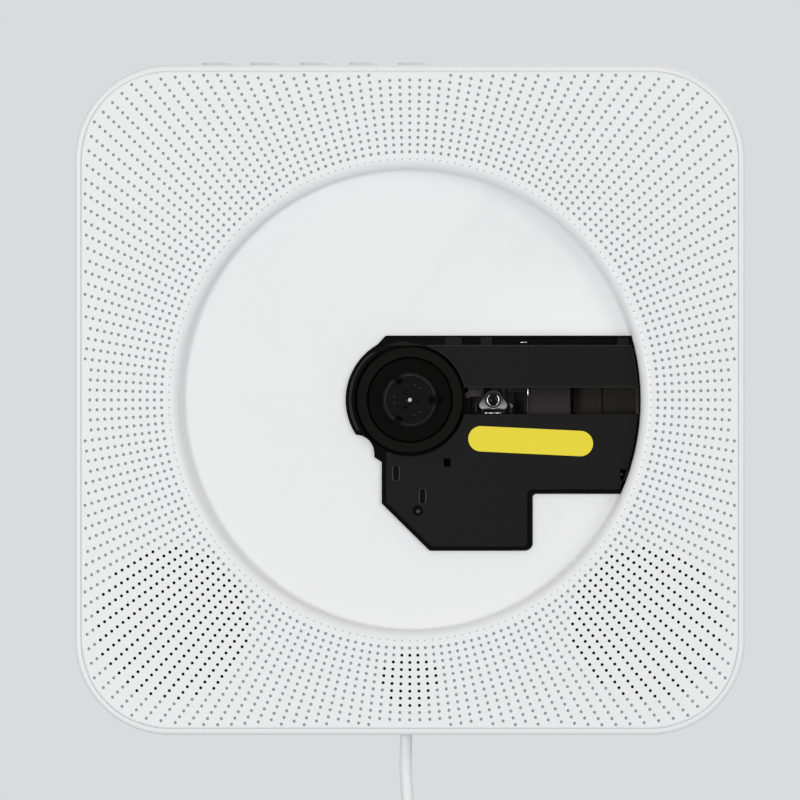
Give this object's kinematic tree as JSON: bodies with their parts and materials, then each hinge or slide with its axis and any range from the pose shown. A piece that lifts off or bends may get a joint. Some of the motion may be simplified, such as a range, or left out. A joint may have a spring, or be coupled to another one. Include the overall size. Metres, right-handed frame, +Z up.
{
  "type": "wall mounted disc player",
  "caption": "Square wall player with rounded corners: perforated front, open disc well with laser deck and sprung hub, top keys and a hanging pull cord.",
  "frame": {"origin": "on the wall, in the middle of the wall bracket's screw pattern, on the spindle's axis", "axes": "+X to the right as seen from the room, +Y into the wall, +Z up; the front faces -Y"},
  "size_m": [0.195, 0.042, 0.3296],
  "materials": {
    "case_white": "fine satin",
    "panel_white": "fine satin",
    "key_white": "satin",
    "cord_white": "soft vinyl",
    "deck_black": "satin",
    "table_black": "satin",
    "pad_rubber": "dull",
    "inner_black": "satin",
    "sled_metal": "die-cast, matt",
    "gear_white": "smooth",
    "steel": "bright",
    "bracket_steel": "powder coat",
    "motor_steel": "plated",
    "holder_silver": "satin grey",
    "lens_glass": "coated",
    "board_green": "glass-fibre board",
    "basket": "pressed steel",
    "cone_paper": "paper",
    "magnet": "ferrite",
    "tie_white": "smooth"
  },
  "bodies": {
    "case": {"rear_case": "case_white", "front_panel": "panel_white", "cord_bush": "cord_white", "cd_deck": "deck_black", "wall_pads": "pad_rubber", "mech_dampers": "pad_rubber", "mech_chassis": "inner_black", "home_switch": "inner_black", "jack_socket": "inner_black", "board_connectors": "inner_black", "ribbon_cable": "inner_black", "board_chips": "inner_black", "board_capacitors": "inner_black", "button_switches": "inner_black", "remote_sensor": "inner_black", "pull_housing": "gear_white", "main_guide_rod": "steel", "plain_guide_rod": "steel", "pull_spring": "steel", "case_screws": "steel", "inner_screws": "steel", "wall_bracket": "bracket_steel", "spindle_motor": "motor_steel", "feed_motor": "motor_steel", "mech_board": "board_green", "main_board": "board_green", "button_board": "board_green", "sensor_board": "board_green", "speaker_frame_left": "basket", "speaker_frame_right": "basket", "speaker_magnets": "magnet"},
    "turntable": {"turntable": "table_black", "turntable_pad": "pad_rubber", "disc_hub": "table_black", "spindle_shaft": "steel"},
    "catch_a": {"disc_catch_a": "table_black"},
    "catch_b": {"disc_catch_b": "table_black"},
    "catch_c": {"disc_catch_c": "table_black"},
    "pickup": {"pickup_sled": "sled_metal", "pickup_cover": "inner_black", "focus_yoke": "steel", "feed_rack": "gear_white"},
    "lens": {"lens_holder": "holder_silver", "objective_lens": "lens_glass"},
    "feed_gear": {"feed_gear": "gear_white"},
    "feed_pinion": {"feed_pinion": "steel"},
    "button_1": {"button_1": "key_white"},
    "button_2": {"button_2": "key_white"},
    "button_3": {"button_3": "key_white"},
    "button_4": {"button_4": "key_white"},
    "button_5": {"button_5": "key_white"},
    "cord": {"cord_clamp": "inner_black", "cord_run": "cord_white", "cord_coil": "cord_white", "cord_tie": "tie_white", "usb_plug_grip": "cord_white", "usb_plug_shell": "steel"},
    "cone_left": {"speaker_cone_left": "cone_paper"},
    "cone_right": {"speaker_cone_right": "cone_paper"}
  },
  "joints": [
    {"name": "turntable_spin", "type": "hinge", "parent": "case", "child": "turntable", "pos_m": [0, 0, 0], "axis": [0, 1, 0], "continuous": true},
    {"name": "catch_a_press", "type": "slide", "parent": "turntable", "child": "catch_a", "axis": [-1, 0, 0], "range_m": [0, 0.001], "stiffness_N_per_m": 200, "springref_m": -0.0005},
    {"name": "catch_b_press", "type": "slide", "parent": "turntable", "child": "catch_b", "axis": [0.5, 0, -0.866], "range_m": [0, 0.001], "stiffness_N_per_m": 200, "springref_m": -0.0005},
    {"name": "catch_c_press", "type": "slide", "parent": "turntable", "child": "catch_c", "axis": [0.5, 0, 0.866], "range_m": [0, 0.001], "stiffness_N_per_m": 200, "springref_m": -0.0005},
    {"name": "pickup_travel", "type": "slide", "parent": "case", "child": "pickup", "axis": [1, 0, 0], "range_m": [-0.001, 0.0335]},
    {"name": "lens_focus", "type": "slide", "parent": "pickup", "child": "lens", "axis": [0, -1, 0], "range_m": [-0.0005, 0.0005], "stiffness_N_per_m": 30},
    {"name": "feed_gear_spin", "type": "hinge", "parent": "case", "child": "feed_gear", "pos_m": [0.044, 0, -0.0346], "axis": [0, 1, 0], "range_deg": [-20, 540]},
    {"name": "feed_pinion_spin", "type": "hinge", "parent": "case", "child": "feed_pinion", "pos_m": [0.03298, 0, -0.0429], "axis": [0, 1, 0], "range_deg": [-1930, 64]},
    {"name": "button_1_press", "type": "slide", "parent": "case", "child": "button_1", "axis": [0, 0, -1], "range_m": [0, 0.0004], "stiffness_N_per_m": 500, "springref_m": -0.001},
    {"name": "button_2_press", "type": "slide", "parent": "case", "child": "button_2", "axis": [0, 0, -1], "range_m": [0, 0.0004], "stiffness_N_per_m": 500, "springref_m": -0.001},
    {"name": "button_3_press", "type": "slide", "parent": "case", "child": "button_3", "axis": [0, 0, -1], "range_m": [0, 0.0004], "stiffness_N_per_m": 500, "springref_m": -0.001},
    {"name": "button_4_press", "type": "slide", "parent": "case", "child": "button_4", "axis": [0, 0, -1], "range_m": [0, 0.0004], "stiffness_N_per_m": 500, "springref_m": -0.001},
    {"name": "button_5_press", "type": "slide", "parent": "case", "child": "button_5", "axis": [0, 0, -1], "range_m": [0, 0.0004], "stiffness_N_per_m": 500, "springref_m": -0.001},
    {"name": "cord_pull", "type": "slide", "parent": "case", "child": "cord", "axis": [0, 0, -1], "range_m": [0, 0.003], "stiffness_N_per_m": 900, "springref_m": -0.004, "deforming": ["pull_spring"]},
    {"name": "cone_left_travel", "type": "slide", "parent": "case", "child": "cone_left", "axis": [0, -1, 0], "range_m": [-0.0005, 0.0005], "stiffness_N_per_m": 1500},
    {"name": "cone_right_travel", "type": "slide", "parent": "case", "child": "cone_right", "axis": [0, -1, 0], "range_m": [-0.0005, 0.0005], "stiffness_N_per_m": 1500}
  ],
  "couplings": [
    {"joint": "feed_gear_spin", "follows": "pickup_travel", "rad_per_m": 277.78},
    {"joint": "feed_pinion_spin", "follows": "pickup_travel", "rad_per_m": -1000}
  ]
}
